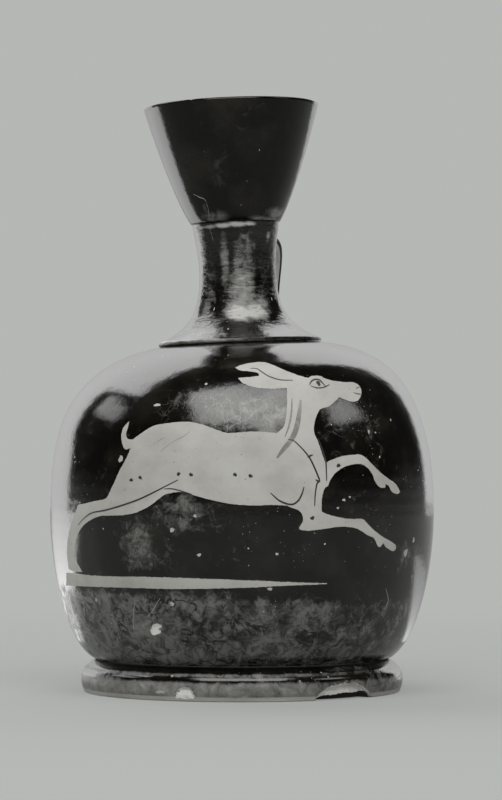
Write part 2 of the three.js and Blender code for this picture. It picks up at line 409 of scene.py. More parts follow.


# A gloss with turning marks of a depth, which break up its haze and painted highlights, and soft or firm
# edges of the haze
def makeGloss(name, look, ior, turning=0.0, softness=0.0):
    material, tree, place = newMaterial(name)
    brown = rangeNode(tree, noiseNode(tree, place, look["brownScale"], 6.0, 0.6), *look["brownRange"])
    fine = times(tree, noiseNode(tree, place, look["fineScale"], 8.0, 0.68, 0.8), look["fineShare"])
    cloud = times(tree, noiseNode(tree, place, look["cloudScale"], 4.0, 0.6), look["cloudShare"])
    mottle = mathNode(tree, "ADD", fine, cloud)
    if turning:
        marks = turningNode(tree, place, look)
        streaks = times(tree, mathNode(tree, "SUBTRACT", marks, 0.5), look["streaks"] * min(turning, 1.0))
        mottle = mathNode(tree, "ADD", mottle, markNode(tree, "wearAndHighlight", "MULTIPLY", streaks))
    wearAndHighlightLevel = markNode(tree, "wearAndHighlight", "ADD", mottle)
    hazeAndHighlight, limeAndHighlight = (rangeNode(tree, wearAndHighlightLevel, look[name][0], look[name][1] + softness)
                  for name in ("hazeRange", "limeRange"))
    highlightCracks = markNode(tree, "highlightCracks", "MULTIPLY", netNode(tree, place, look))
    thick = lineNode(tree, place, look["rootScale"], 4.0, 0.9, look["rootWidth"])
    thin = lineNode(tree, place, look["veinScale"], 3.0, 1.2, look["veinWidth"])
    thin = times(tree, thin, look["veinShare"])
    patches = rangeNode(tree, noiseNode(tree, place, look["rootPatches"], 2.0), *look["patchRange"])
    lines = times(tree, mathNode(tree, "MAXIMUM", thick, thin), patches)
    roots = markNode(tree, "roots", "MULTIPLY", lines)
    pit = pitNode(tree, place, look)
    colour = look["black"]
    for amount, tone in ((brown, "brown"), (hazeAndHighlight, "hazeAndHighlight"), (limeAndHighlight, "limeAndHighlight"), (highlightCracks, "limeAndHighlight"), (roots, "black"),
                         (pit, "bare")):
        colour = mixNode(tree, amount, colour, look[tone])
    roughness = rangeNode(tree, mathNode(tree, "MAXIMUM", hazeAndHighlight, pit), 0.0, 1.0, *look["roughness"])
    crackle = noiseNode(tree, place, look["crackleScale"], 6.0, 0.62, 1.2)
    height = mathNode(tree, "ADD", times(tree, pit, look["pitDepth"]), crackle)
    if turning:
        firm = rangeNode(tree, noiseNode(tree, place, look["turningPatches"], 3.0), *look["turningRange"],
                         look["turningLeast"] * turning, turning)
        height = mathNode(tree, "ADD", height, times(tree, marks, firm))
    return shownBy(material, addNode(tree, "BsdfPrincipled", {
        "IOR": ior, "Base Color": colour, "Roughness": roughness,
        "Normal": bumpNode(tree, height, *look["bump"])}))


clayLook = {
    "pale": (0.345, 0.340, 0.318, 1),
    "dark": (0.275, 0.268, 0.246, 1),
    "speck": (0.16, 0.15, 0.13, 1),
    "roughness": 0.78,
    "bump": (0.25, 0.1 * mm),
    "cloudScale": 90.0,
    "cloudRange": (0.35, 0.75),
    "grainScale": 900.0,
    "speckScale": 1300.0,
    "speckRange": (0.70, 0.76),
}
# paler clay of fresh breaks; on the handle's bare side it is painted light, lifting a face in shade
breakAndLitLook = {**clayLook, "pale": (0.66, 0.655, 0.63, 1), "dark": (0.50, 0.495, 0.47, 1)}


def makeClay(name, look, coarse=0.0):
    material, tree, place = newMaterial(name)
    cloud = rangeNode(tree, noiseNode(tree, place, look["cloudScale"], 5.0, 0.6), *look["cloudRange"])
    speck = rangeNode(tree, noiseNode(tree, place, look["speckScale"], 2.0), *look["speckRange"])
    colour = mixNode(tree, speck, mixNode(tree, cloud, look["pale"], look["dark"]), look["speck"])
    grain, (strength, depth) = noiseNode(tree, place, look["grainScale"], 5.0, 0.65), look["bump"]
    return shownBy(material, addNode(tree, "BsdfPrincipled", {
        "Roughness": look["roughness"], "IOR": 1.45, "Base Color": colour,
        "Normal": bumpNode(tree, grain, strength + coarse, depth)}))


# Slip brushed on clay: darker where it lies thick. The same near-black also paints the shadow in the foot's
# undercut break.
def makeSlip(name, dark, thin, roughness, scale=500.0, thinRange=(0.42, 0.72)):
    material, tree, place = newMaterial(name)
    thinness = rangeNode(tree, noiseNode(tree, place, scale, 4.0, 0.6), *thinRange)
    return shownBy(material, addNode(tree, "BsdfPrincipled", {
        "Roughness": roughness, "IOR": 1.5, "Base Color": mixNode(tree, thinness, dark, thin)}))


bodyGloss = makeGloss("bodyGloss", glossLook, 1.42)
neckGloss = makeGloss("neckGloss", glossLook, 1.45, turning=6.5)
mouthGloss = makeGloss("mouthGloss", glossLook, 1.3, turning=0.5, softness=0.35)
reservedClay = makeClay("reservedClay", clayLook)
flakedClay = makeClay("flakedClay", clayLook, coarse=0.5)
brokenAndLitClay = makeClay("brokenAndLitClay", breakAndLitLook, coarse=0.5)
reliefSlip = makeSlip("reliefSlip", (0.012, 0.011, 0.009, 1), (0.036, 0.033, 0.026, 1), 0.4)
washSlip = makeSlip("washSlip", (0.13, 0.127, 0.115, 1), (0.24, 0.235, 0.215, 1), 0.7)
dullGloss = makeSlip("dullGloss", (0.004, 0.0037, 0.003, 1), (0.012, 0.011, 0.009, 1), 0.85)
# near-black cut face: painted shadow under the foot's broken edge
paintedShadowBreak = makeSlip("paintedShadowBreak", (0.006, 0.0055, 0.0045, 1), (0.02, 0.018, 0.015, 1), 0.8)
print("materials made")

# Foot
footShape = {
    "radius": 38.0 * mm,
    "height": 7.7 * mm,
    "sideHeight": 5.0 * mm,
    "sideBulge": 0.5 * mm,
    "edgeRound": 0.5 * mm,
    "shoulderPull": pull(-1.15, 1.65),
    "waistRadius": 35.4 * mm,
    "restWidth": 7.0 * mm,
    "recessTaper": 2.6 * mm,
    "reservedHeight": 0.9 * mm,  # bare line along the resting edge
    "sides": 288,
}


def makeFoot(shape):
    inner = shape["radius"] - shape["restWidth"]
    sideTop = np.array([shape["radius"] + shape["sideBulge"] / 2, shape["sideHeight"]])
    edge = rounded((shape["radius"] - shape["edgeRound"], shape["edgeRound"]), shape["edgeRound"], -90, 0)
    side = bend(edge[-1], (shape["radius"] + 2 * shape["sideBulge"], shape["sideHeight"] / 2), sideTop, 14)
    slope = bend(sideTop, sideTop + shape["shoulderPull"], (shape["waistRadius"], shape["height"]), 8)
    outside = np.vstack([edge, side[1:], slope[1:]])
    recessTop = (inner - shape["recessTaper"], shape["height"])
    profile = np.vstack([[(inner, 0)], outside, [recessTop]])
    kinds = [1 if height < shape["reservedHeight"] else 0 for _, height in profile]
    kinds[-1] = 1
    materials = [bodyGloss, reservedClay, brokenAndLitClay]
    return turnedPiece("foot_ring", profile, shape["sides"], placeOnBody, materials, kinds), outside


foot, footOutside = makeFoot(footShape)

# Body
bodyShape = {
    "underside": 8.0 * mm,
    "waistRadius": 35.4 * mm,
    "bellyRadius": 46.1 * mm,
    "bellyHeight": 43.0 * mm,
    "lowerSwell": pull(6.1, 2.5),
    "lowerUpright": pull(0, 15.0),
    "upperUpright": pull(0, 19.4),
    "shoulderPull": pull(-22.3, 2.9),
    "seatRadius": 19.6 * mm,
    "boreRadius": 6.0 * mm,
    "wall": 3.2 * mm,
    "floor": 4.0 * mm,
    "floorRound": 8.0 * mm,
    "sides": 360,
}


def makeBody(shape):
    belly = (shape["bellyRadius"], shape["bellyHeight"])
    waist, seat = (shape["waistRadius"], shape["underside"]), (shape["seatRadius"], lean["seat"])
    lower = bezier(waist, shape["lowerSwell"], shape["lowerUpright"], belly, 48)
    upper = bezier(belly, shape["upperUpright"], shape["shoulderPull"], seat, 72)
    outside = np.vstack([lower, upper[1:]])
    floorTop = shape["underside"] + shape["floor"]
    inside = outside + shape["wall"] * sideways(outside)
    inside = inside[inside[:, 1] > floorTop + shape["floorRound"] / 2][::-3]
    corner = bend(inside[-1], (inside[-1][0] - shape["floorRound"] / 4, floorTop),
                  (inside[-1][0] - shape["floorRound"], floorTop), 8)
    bore = [(shape["boreRadius"], lean["seat"]), (shape["boreRadius"], lean["seat"] - shape["wall"])]
    profile = np.vstack([[(0, shape["underside"])], outside, bore, inside, corner[1:], [(0, floorTop)]])
    kinds = np.ones(len(profile), int)
    kinds[1:len(outside) + 1] = 0
    piece = turnedPiece("body_shell", profile, shape["sides"], placeOnBody, [bodyGloss, reservedClay], kinds)
    return piece, outside


body, bodyOutside = makeBody(bodyShape)

# Neck, with heights from its seat
neckShape = {
    "boreRadius": 6.0 * mm,
    "slipGap": 0.3 * mm,
    "ringRadius": 19.6 * mm,
    "ringHeight": 1.2 * mm,
    "ringEdgeRound": 0.3 * mm,
    "flarePull": pull(-7.8, 3.0),
    "lowerPull": pull(0, 8.9),
    "upperPull": pull(0, 4.2),
    "waistRadius": 9.3 * mm,
    "waistHeight": 18.0 * mm,
    "topPull": pull(0.3, 2.4),
    "topRadius": 10.5 * mm,
    "height": 29.0 * mm,
    "topGap": 0.08 * mm,  # the slip fills the rest of the joint
    "sides": 192,
}


def makeNeck(shape):
    waist, top = (shape["waistRadius"], shape["waistHeight"]), (shape["topRadius"], shape["height"])
    edgeRound = shape["ringEdgeRound"]
    edge = rounded((shape["ringRadius"] - edgeRound, shape["ringHeight"] - edgeRound), edgeRound, 0, 90)
    flare = bezier(edge[-1], shape["flarePull"], shape["lowerPull"], waist, 48)
    rise = bezier(waist, shape["upperPull"], shape["topPull"], top, 44)
    brim = (shape["topRadius"], shape["height"] + shape["slipGap"] - shape["topGap"])
    outside = np.vstack([[(shape["ringRadius"], shape["slipGap"])], edge, flare[1:], rise[1:], [brim]])
    bore = [(shape["boreRadius"], shape["slipGap"]), (shape["boreRadius"], brim[1])]
    profile = np.vstack([bore[:1], outside, bore[1:]])
    return turnedPiece("neck_tube", profile, shape["sides"], placeOnNeck, [neckGloss]), outside


neck, neckOutside = makeNeck(neckShape)

# Mouth, with heights from the neck's seat
mouthShape = {
    "lip": 0.3 * mm,
    "radius": 21.1 * mm,
    "height": 28.7 * mm,
    "lowerPull": pull(3.1, 4.6),
    "upperPull": pull(2.6, 9.4),
    "rimWall": 2.5 * mm,
    "rimRound": 0.6 * mm,
    "rimDip": 0.4 * mm,
    "cupFloor": 4.6 * mm,
    "cupLowerPull": pull(6.0, 2.4),
    "cupUpperPull": pull(2.6, 10.0),
    "sides": 240,
}


def makeMouth(shape):
    base = neckShape["height"] + neckShape["slipGap"]
    top = neckShape["height"] + shape["height"]
    outside = bezier((neckShape["topRadius"] + shape["lip"], base), shape["lowerPull"], shape["upperPull"],
                     (shape["radius"], top - shape["rimRound"]), 48)
    rim = rounded((shape["radius"] - shape["rimRound"], top - shape["rimRound"]), shape["rimRound"], 0, 90)
    innerTop = top - shape["rimDip"]
    inner = np.array([shape["radius"] - shape["rimWall"], innerTop - shape["rimRound"]])
    innerEdge = bend((inner[0] + shape["rimRound"], innerTop), (inner[0], innerTop), inner, 5)
    cup = bezier(inner, -shape["cupUpperPull"], -shape["cupLowerPull"],
                 (neckShape["boreRadius"], neckShape["height"] + shape["cupFloor"]), 36)
    profile = np.vstack([[(neckShape["boreRadius"], base)], outside, rim[1:], innerEdge, cup[1:]])
    return turnedPiece("mouth_cup", profile, shape["sides"], placeOnNeck, [mouthGloss, flakedClay]), outside


mouth, mouthOutside = makeMouth(mouthShape)

# Handle: a pulled strap from the neck down to the shoulder
handleShape = {
    "turn": math.radians(6.3),
    "topDrop": 5.2 * mm,
    "rootDepth": 6.4 * mm,
    "topPull": pull(15.0, 5.4),
    "bendPull": pull(0, -10.5),
    "bendHeight": 12.7 * mm,
    "reach": 27.5 * mm,
    "lowerPull": pull(0, -7.0),
    "footPull": pull(0.6, -6.0),
    "footReach": 29.0 * mm,
    "footDepth": 8.0 * mm,
    "thickness": 4.2 * mm,
    "widths": np.array([13.6, 17.6, 14.0, 20.6]) * mm,  # at even shares of its length
    "squareness": 0.7,
    "innerShare": 0.82,
    "sideRidge": 0.35 * mm,  # the fingers leave a low ridge along each side
    "bareSide": 0.40,  # the side towards the neck is left bare, up to this far round its edges
    "dullEdge": 0.3,  # from there to this far round the back, the gloss is rubbed dull
    "steps": 150,
    "around": 64,
}


def makeHandle(shape):
    bendPoint = (shape["reach"], shape["bendHeight"])
    upper = bezier((neckShape["topRadius"] - shape["rootDepth"], neckShape["height"] - shape["topDrop"]),
                   shape["topPull"], shape["bendPull"], bendPoint, 60)
    lower = bezier(bendPoint, shape["lowerPull"], shape["footPull"],
                   (shape["footReach"], -shape["footDepth"]), 40)
    path = np.vstack([upper, lower[1:]])
    lengths = lengthsOf(path)
    shares = np.linspace(0, 1, shape["steps"] + 1)
    centres = np.stack([np.interp(shares * lengths[-1], lengths, path[:, k]) for k in range(2)], axis=1)
    angles = np.arange(shape["around"]) * 2 * np.pi / shape["around"]
    cosine, sine = np.cos(angles), np.sin(angles)
    vertices = []
    for share, centre, side in zip(shares, centres, sideways(centres)):
        width = throughAt(shape["widths"], share)
        across = np.sign(cosine) * np.abs(cosine) ** shape["squareness"] * width / 2
        crown = np.where(sine > 0, 1, shape["innerShare"]) * sine * shape["thickness"] / 2
        crown = crown - shape["sideRidge"] * np.where(sine > 0, sine, 0) * (1 - np.abs(cosine)) ** 2
        reach, height = centre[0] + crown * side[0], centre[1] + crown * side[1]
        turn = shape["turn"]
        x = across * math.cos(turn) + reach * math.sin(turn)
        y = -across * math.sin(turn) + reach * math.cos(turn)
        vertices.extend(placeOnNeck(x, y, height))
    around, last = shape["around"], shape["steps"] * shape["around"]
    faces, kinds = [], []
    for i in range(shape["steps"]):
        for s in range(around):
            a, b = i * around + s, i * around + (s + 1) % around
            faces.append([a, a + around, b + around, b])
            turned = math.sin(angles[s] + math.pi / around)
            # the bare side takes the breaks' paler clay: painted light on a face shaded by the neck
            kinds.append(1 if turned < -shape["bareSide"] else 2 if turned < shape["dullEdge"] else 0)
    faces.append(list(range(around)))
    faces.append([last + s for s in reversed(range(around))])
    return newPiece("handle_strap", vertices, faces, [neckGloss, brokenAndLitClay, dullGloss], kinds + [0, 0])


# Cuts a closed mesh away from a piece, and leaves the cutter's material on the cut
def cutWith(piece, cutter):
    modifier = piece.modifiers.new("cut", "BOOLEAN")
    modifier.operation = "DIFFERENCE"
    modifier.solver = "EXACT"
    modifier.material_mode = "TRANSFER"
    modifier.object = cutter
    bpy.context.view_layer.update()
    graph = bpy.context.evaluated_depsgraph_get()
    made = bpy.data.meshes.new_from_object(piece.evaluated_get(graph), depsgraph=graph)
    piece.modifiers.clear()
    piece.data = made
    bpy.data.objects.remove(cutter)
    joined = bmesh.new()  # a point on a straight edge would become a doubled sliver in the triangles
    joined.from_mesh(made)
    needless = [corner for corner in joined.verts if len(corner.link_edges) == 2]
    bmesh.ops.dissolve_verts(joined, verts=needless)
    joined.to_mesh(made)
    joined.free()


# A piece's outer form, filled: what is luted on is cut to it
def envelope(name, outside, place, low, high, sides=180):
    profile = np.vstack([[(0, low)], outside, [(0, high)]])
    return turnedPiece(name, profile, sides, place, [neckGloss], inset=0.0)


handle = makeHandle(handleShape)
cutWith(handle, envelope("shoulderForm", bodyOutside, placeOnBody, bodyShape["underside"], lean["seat"]))
cutWith(handle, envelope("neckForm", neckOutside[1:], placeOnNeck, neckShape["slipGap"], neckOutside[-1][1]))
handle.data.polygons.foreach_set("use_smooth", [True] * len(handle.data.polygons))
print("five pieces turned and pulled")


# A rough lump that breaks a nick away
def lump(name, middle, axes, turn, material, roughness, seed):
    random.seed(seed)
    phases = [random.uniform(0, 2 * math.pi) for _ in range(9)]
    rows, around = 28, 72
    vertices, faces = [], []
    for i in range(rows + 1):
        rise = math.pi * i / rows - math.pi / 2
        for s in range(around if 0 < i < rows else 1):
            a = 2 * math.pi * s / around
            ripple = (math.sin(3 * a + phases[0]) + math.sin(5 * a + phases[1] + 2 * rise)
                      + 0.7 * math.sin(9 * a + phases[2]) + 0.6 * math.sin(7 * rise + phases[3])
                      + 0.5 * math.sin(15 * a + phases[4] + 4 * rise))
            local = (math.cos(rise) * math.cos(a), math.cos(rise) * math.sin(a), math.sin(rise))
            local = Vector([v * axis * (1 + roughness * ripple) for v, axis in zip(local, axes)])
            vertices.append(Vector(middle) + turn @ local)
    for s in range(around):
        n = (s + 1) % around
        faces.append([0, 1 + n, 1 + s])
        faces.append([len(vertices) - 1, len(vertices) - 1 - around + s, len(vertices) - 1 - around + n])
        for i in range(rows - 2):
            row = 1 + i * around
            faces.append([row + s, row + n, row + around + n, row + around + s])
    return newPiece(name, vertices, faces, [material], smooth=False)


nickRoughness = 0.05
rimNicks = [
    # turn from the front, size
    (math.radians(-27), 0.40 * mm),
    (math.radians(-20), 0.25 * mm),
    (math.radians(34), 0.30 * mm),
    (math.radians(118), 0.6 * mm),
    (math.radians(205), 0.6 * mm),
]


def nickRim(nicks, seed=20):
    top = neckShape["height"] + mouthShape["height"]
    for number, (turn, size) in enumerate(nicks):
        x, y = mouthShape["radius"] * math.sin(turn), -mouthShape["radius"] * math.cos(turn)
        middle = placeOnNeck(np.array(x), np.array(y), np.array(top))
        axes, across = (2.2 * size, size, 0.8 * size), Matrix.Rotation(turn, 3, "Z")
        cutWith(mouth, lump("rimNick", middle, axes, across, flakedClay, nickRoughness, seed + number))


nickRim(rimNicks)
print("rim nicked")

# Drawing on the turned surfaces
surfaces = {
    "body": (bodyOutside, placeOnBody, offBody),
    "foot": (footOutside, placeOnBody, offBody),
    "neck": (neckOutside, placeOnNeck, offNeck),
    "mouth": (mouthOutside, placeOnNeck, offNeck),
}
sightSearch = {"near": -60 * mm, "far": 2 * mm, "steps": 500}


# Where sight lines meet a turned surface: angle from the front, and height
def meetSurface(name, points):
    outside, _, off = surfaces[name]
    rays = raysThrough(points)
    near, far = ((sightSearch[end] - eye[1]) / rays[:, 1] for end in ("near", "far"))
    steps = np.linspace(0, 1, sightSearch["steps"])
    along = near[:, None] + (far - near)[:, None] * steps
    places = eye + along[..., None] * rays[:, None]
    x, y, height = off(places)
    depth = np.hypot(x, y) - np.interp(height, outside[:, 1], outside[:, 0])
    hit = np.where((depth < 0).any(axis=1), (depth < 0).argmax(axis=1), depth.argmin(axis=1))
    rows = np.arange(len(points))
    before = np.maximum(hit - 1, 0)
    share = np.clip(depth[rows, before] / np.maximum(depth[rows, before] - depth[rows, hit], 1e-12), 0, 1)
    place = places[rows, before] + (places[rows, hit] - places[rows, before]) * share[:, None]
    x, y, height = off(place)
    return np.stack([np.arctan2(x, -y), height], axis=1)


# The same, as angle and length along the profile
def ontoSurface(name, points):
    outside = surfaces[name][0]
    found = meetSurface(name, points)
    found[:, 1] = np.interp(found[:, 1], outside[:, 1], lengthsOf(outside))
    return found


# Points at an angle and a profile length, lifted off the gloss
def skinPlaces(name, spots, lift):
    outside, place, _ = surfaces[name]
    lengths = lengthsOf(outside)
    slope = np.gradient(outside, lengths, axis=0)
    radius, height, inward, outward = (np.interp(spots[:, 1], lengths, line[:, k])
                                       for line in (outside, slope) for k in range(2))
    r = radius - wobble(spots[:, 0], height) - skinInset + lift * outward
    return place(r * np.sin(spots[:, 0]), -r * np.cos(spots[:, 0]), height - lift * inward)


unrolled = np.array([42 * mm, 1])  # turns angle and length into two lengths, at this radius
skinLift = 0.03 * mm
washLift, slipLift = 1.35 * skinLift, 1.7 * skinLift
skinGrid = {"pitch": 0.9 * mm, "clear": 0.36 * mm}  # points inside a skin, and their distance from its edge
pixelSteps = {"outline": 1.5, "stroke": 1.2, "break": 1.6}  # between points, in the photograph
seeds = {"dots": 60, "flakes": 100}


def inside(points, loop):
    x, y = points[:, 0], points[:, 1]
    found = np.zeros(len(points), bool)
    for (x1, y1), (x2, y2) in zip(loop, np.roll(loop, -1, axis=0)):
        crosses = (y1 > y) != (y2 > y)
        if y1 != y2:
            found ^= crosses & (x < (x2 - x1) * (y - y1) / (y2 - y1) + x1)
    return found


# A closed loop of angle and length, filled with points and triangles
def fillLoop(loop):
    flat = loop * unrolled
    keep = np.linalg.norm(flat - np.roll(flat, 1, axis=0), axis=1) > 1e-6
    flat = flat[keep]
    low, high = flat.min(axis=0), flat.max(axis=0)
    pitches = [np.arange(low[k], high[k], skinGrid["pitch"]) for k in range(2)]
    grid = np.stack(np.meshgrid(*pitches), -1).reshape(-1, 2)
    grid = grid[inside(grid, flat)] if len(grid) else grid
    if len(grid):
        gaps = np.linalg.norm(grid[:, None] - flat[None], axis=2).min(axis=1)
        grid = grid[gaps > skinGrid["clear"]]
    everything = [Vector(p) for p in np.vstack([flat, grid])]
    made = delaunay_2d_cdt(everything, [], [list(range(len(flat)))], 1, 1e-9)
    spots = np.array([tuple(v) for v in made[0]]) / unrolled
    return spots, [list(f) for f in made[2]]


# A front and a back of the same triangles, closed round the edge
def closeSkin(front, back, triangles):
    edges = {}
    for a, b, c in triangles:
        for pair in ((a, b), (b, c), (c, a)):
            edges[pair] = edges.get(pair, 0) + 1
    size = len(front)
    faces = list(triangles) + [[f[2] + size, f[1] + size, f[0] + size] for f in triangles]
    for a, b in edges:
        if (b, a) not in edges:
            faces.append([b, a, a + size, b + size])
    return np.vstack([front, back]), faces


# A brush stroke's outline on the surface, from the points it runs through and its real width
def strokeLoop(surface, points, width, taper=0.35):
    spots = ontoSurface(surface, smoothLine(points, pixelSteps["stroke"])) * unrolled
    share = np.clip(np.linspace(0, 1, len(spots)), 0.04, 0.96)
    pressure = taper + (1 - taper) * np.sin(np.pi * share) ** 0.5
    half = sideways(spots) * (width / 2 * pressure)[:, None]
    return np.vstack([spots + half, (spots - half)[::-1]]) / unrolled


# An uneven patch round a point of the photograph
def blobLoop(surface, x, y, across, up, seed, steps=28):
    random.seed(seed)
    phases = [random.uniform(0, 2 * math.pi) for _ in range(4)]
    angles = np.linspace(0, 2 * np.pi, steps, endpoint=False)
    size = (1 + 0.13 * np.sin(2 * angles + phases[0]) + 0.10 * np.sin(3 * angles + phases[1])
            + 0.07 * np.sin(5 * angles + phases[2]) + 0.05 * np.sin(8 * angles + phases[3]))
    centre = ontoSurface(surface, [(x, y)])[0] * unrolled
    ring = np.stack([np.cos(angles) * across / 2, np.sin(angles) * up / 2], axis=1) * size[:, None]
    return (centre + ring) / unrolled


def skinPiece(name, surface, loops, lift, material):
    vertices, faces = [], []
    for loop in loops:
        spots, triangles = fillLoop(loop)
        front, back = skinPlaces(surface, spots, lift), skinPlaces(surface, spots, -lift)
        found, made = closeSkin(front, back, triangles)
        faces.extend([v + len(vertices) for v in face] for face in made)
        vertices.extend(found)
    piece = newPiece(name, vertices, faces, [material], smooth=False)
    return settle(piece, None)


# The hind, in the photograph's pixels. Each run is one smooth stretch of its outline, from where the
# last one ended.
hindRuns = [
    [(128, 426), (126, 433), (126.6, 438), (130, 439.5)],
    [(133, 439), (143, 432), (153, 426), (166, 423.4), (179, 422), (191, 422), (204, 425),
     (216, 429.6), (229, 433), (250, 431.5), (265, 432), (277, 433)],
    [(284, 426), (286.4, 414.6), (287.2, 403), (287.2, 388)],
    [(271.5, 388.6), (255, 387.3), (243, 383), (238, 378)],
    [(248, 377.2), (259, 376)],
    [(258, 373), (248, 371.2), (240, 370.4), (235, 367.4)],
    [(245, 364), (261.5, 362), (273, 365), (286, 370.7), (299.7, 375.7), (308, 378)],
    [(313, 376), (319.6, 376), (329.5, 380), (343, 382), (353, 382.3), (358, 384.4), (360.8, 388),
     (361.6, 392), (361, 396), (358.4, 400.2), (353, 401.6), (346, 399.8), (339.5, 397)],
    [(333.6, 402.7), (329.5, 406), (321, 409), (318, 413), (315, 421), (314, 430), (315.4, 436),
     (318, 441), (322, 453), (325.4, 463)],
    [(333, 459.4), (343, 456), (353, 454.8), (361, 454.8), (367.6, 459.4), (379, 471),
     (389, 479), (396, 484), (400.5, 491.7)],
    [(397.5, 494), (392, 491.7), (389, 486), (386, 484)],
    [(385, 487.6), (380, 487), (375, 481), (372.6, 474), (367.6, 467.7), (361, 464), (353, 464.4),
     (344.4, 467), (336, 472.7), (331, 479), (328, 486)],
    [(324.5, 489), (322, 499), (321.7, 511.6)],
    [(329.5, 515), (343, 518), (353, 519), (362.7, 519), (367, 523), (374, 530),
     (382.6, 536.5), (391, 541.5), (396, 545)],
    [(396, 549), (393, 551), (386, 547), (384, 543)],
    [(380, 547), (377.6, 545), (374, 538), (367.6, 535), (358, 529), (349, 527), (338, 527),
     (323, 529), (309.6, 530.7), (301, 530)],
    [(299, 528), (303, 521), (302, 514), (298, 510), (291, 507.5), (287, 505.5)],
    [(271.5, 505), (251, 505.5), (232, 504), (216, 501), (199, 496.7), (183, 492),
     (172.7, 492.6)],
    [(164, 495), (156, 501), (148, 506.7), (136, 512.5), (123, 515), (110, 515.5), (100, 516),
     (90, 520), (83, 525.7), (78, 533), (75, 544), (74.5, 554), (76.5, 562), (82, 572)],
    [(74, 571.5), (68.5, 569)],
    [(66.6, 554), (67.4, 539), (70.7, 524), (75, 512.5), (77.4, 505)],
    [(95, 501), (105.6, 498.4), (109.7, 491), (114.7, 481), (118, 473), (123, 464), (128, 454),
     (130.4, 448)],
    [(125.5, 449.5), (123, 446), (121, 438), (123, 428), (129, 421)],
]
groundRuns = [
    [(100, 576), (150, 577), (200, 578.5), (250, 580.5), (300, 582.5), (327, 583.3)],
    [(327, 584)],
    [(280, 586), (240, 588), (180, 589), (150, 588.5), (100, 587), (66, 585.5)],
    [(66, 572.5)],
]


# The brush wavers a little along an outline, by so many pixels
def outlineLoop(surface, runs, waver):
    starts, step = [runs[-1][-1]] + [run[-1] for run in runs], pixelSteps["outline"]
    line = np.vstack([smoothLine([start] + run, step)[:-1] for start, run in zip(starts, runs)])
    line += np.random.default_rng(len(line)).normal(0, waver, line.shape)
    return ontoSurface(surface, line)


skinPiece("painted_hind", "body", [outlineLoop("body", hindRuns, waver=0.10)], skinLift, reservedClay)
skinPiece("ground_line", "body", [outlineLoop("body", groundRuns, waver=0.16)], skinLift, reservedClay)

# Lines of slip on the hind, each with its real width
reliefLines = {
    "hindLegs": (0.38 * mm, [(177.7, 480), (164, 487), (153, 492.6), (139.6, 499), (123, 505), (106, 510),
                             (91.5, 513), (83, 519), (78, 525)]),
    "flank": (0.28 * mm, [(164, 489), (173, 489), (191, 494)]),
    "shoulder": (0.36 * mm, [(288, 439.5), (294, 441), (303, 449.5), (309.6, 457.7), (314.6, 467.7),
                             (318, 476), (319.6, 481), (317, 484), (315.4, 494), (314.6, 506)]),
    "chest": (0.34 * mm, [(318, 438), (323, 451), (326, 463), (326.7, 481)]),
    "armpit": (0.40 * mm, [(270.6, 493), (280, 501), (291, 504.5), (298, 501), (302, 494), (304, 487)]),
    "ear": (0.34 * mm, [(250.5, 368.4), (257, 368.8), (262, 372), (269, 376.3), (280, 379.8), (293, 380.4)]),
    "lidAbove": (0.44 * mm, [(309.8, 384.8), (311.6, 381.3), (315.5, 379.4), (319.6, 380), (322.6, 383),
                             (325.6, 386.2)]),
    "lidBelow": (0.33 * mm, [(310.6, 385.8), (315, 387.4), (320, 388), (325.5, 386.8), (329.6, 384.6)]),
    "nostril": (0.20 * mm, [(356.4, 388.8), (358.4, 387.2), (360.6, 387.6)]),
    "mouth": (0.22 * mm, [(361.2, 394.3), (357, 393.7), (353.6, 392.6)]),
    "barbAbove": (0.40 * mm, [(307.8, 457.4), (310.4, 455.8), (313, 455)]),
    "barbBelow": (0.40 * mm, [(315.6, 479.6), (318, 481), (320.4, 481.4)]),
}
washLines = {
    "neckFold": (1.2 * mm, [(300.8, 400), (299.2, 414.6), (296, 429.6), (291, 440), (283, 450), (277, 458)]),
    "neckSide": (0.45 * mm, [(292, 398), (291.6, 412), (289, 426), (285, 437)]),
    "haunch": (0.15 * mm, [(160, 452), (171, 443), (184, 436), (190, 431)]),
    "haunchBelow": (0.13 * mm, [(150, 447), (158, 441), (166, 437)]),
}
slipDots = [
    # x and y in the photograph, real radius
    (131, 480, 0.40 * mm), (140, 477.6, 0.40 * mm), (178.5, 474, 0.40 * mm), (191, 474.7, 0.40 * mm),
    (235, 474.7, 0.40 * mm), (250.5, 476, 0.42 * mm), (338.6, 465.5, 0.44 * mm), (312.4, 518, 0.44 * mm),
    (318.6, 383.3, 0.62 * mm),
]
lineLoops = [strokeLoop("body", points, width) for width, points in reliefLines.values()]
dotLoops = [blobLoop("body", x, y, 2 * radius, 2 * radius, seeds["dots"] + i)
            for i, (x, y, radius) in enumerate(slipDots)]
skinPiece("slip_lines", "body", lineLoops + dotLoops, slipLift, reliefSlip)
washLoops = [strokeLoop("body", points, width, 0.12) for width, points in washLines.values()]
skinPiece("wash_strokes", "body", washLoops, washLift, washSlip)

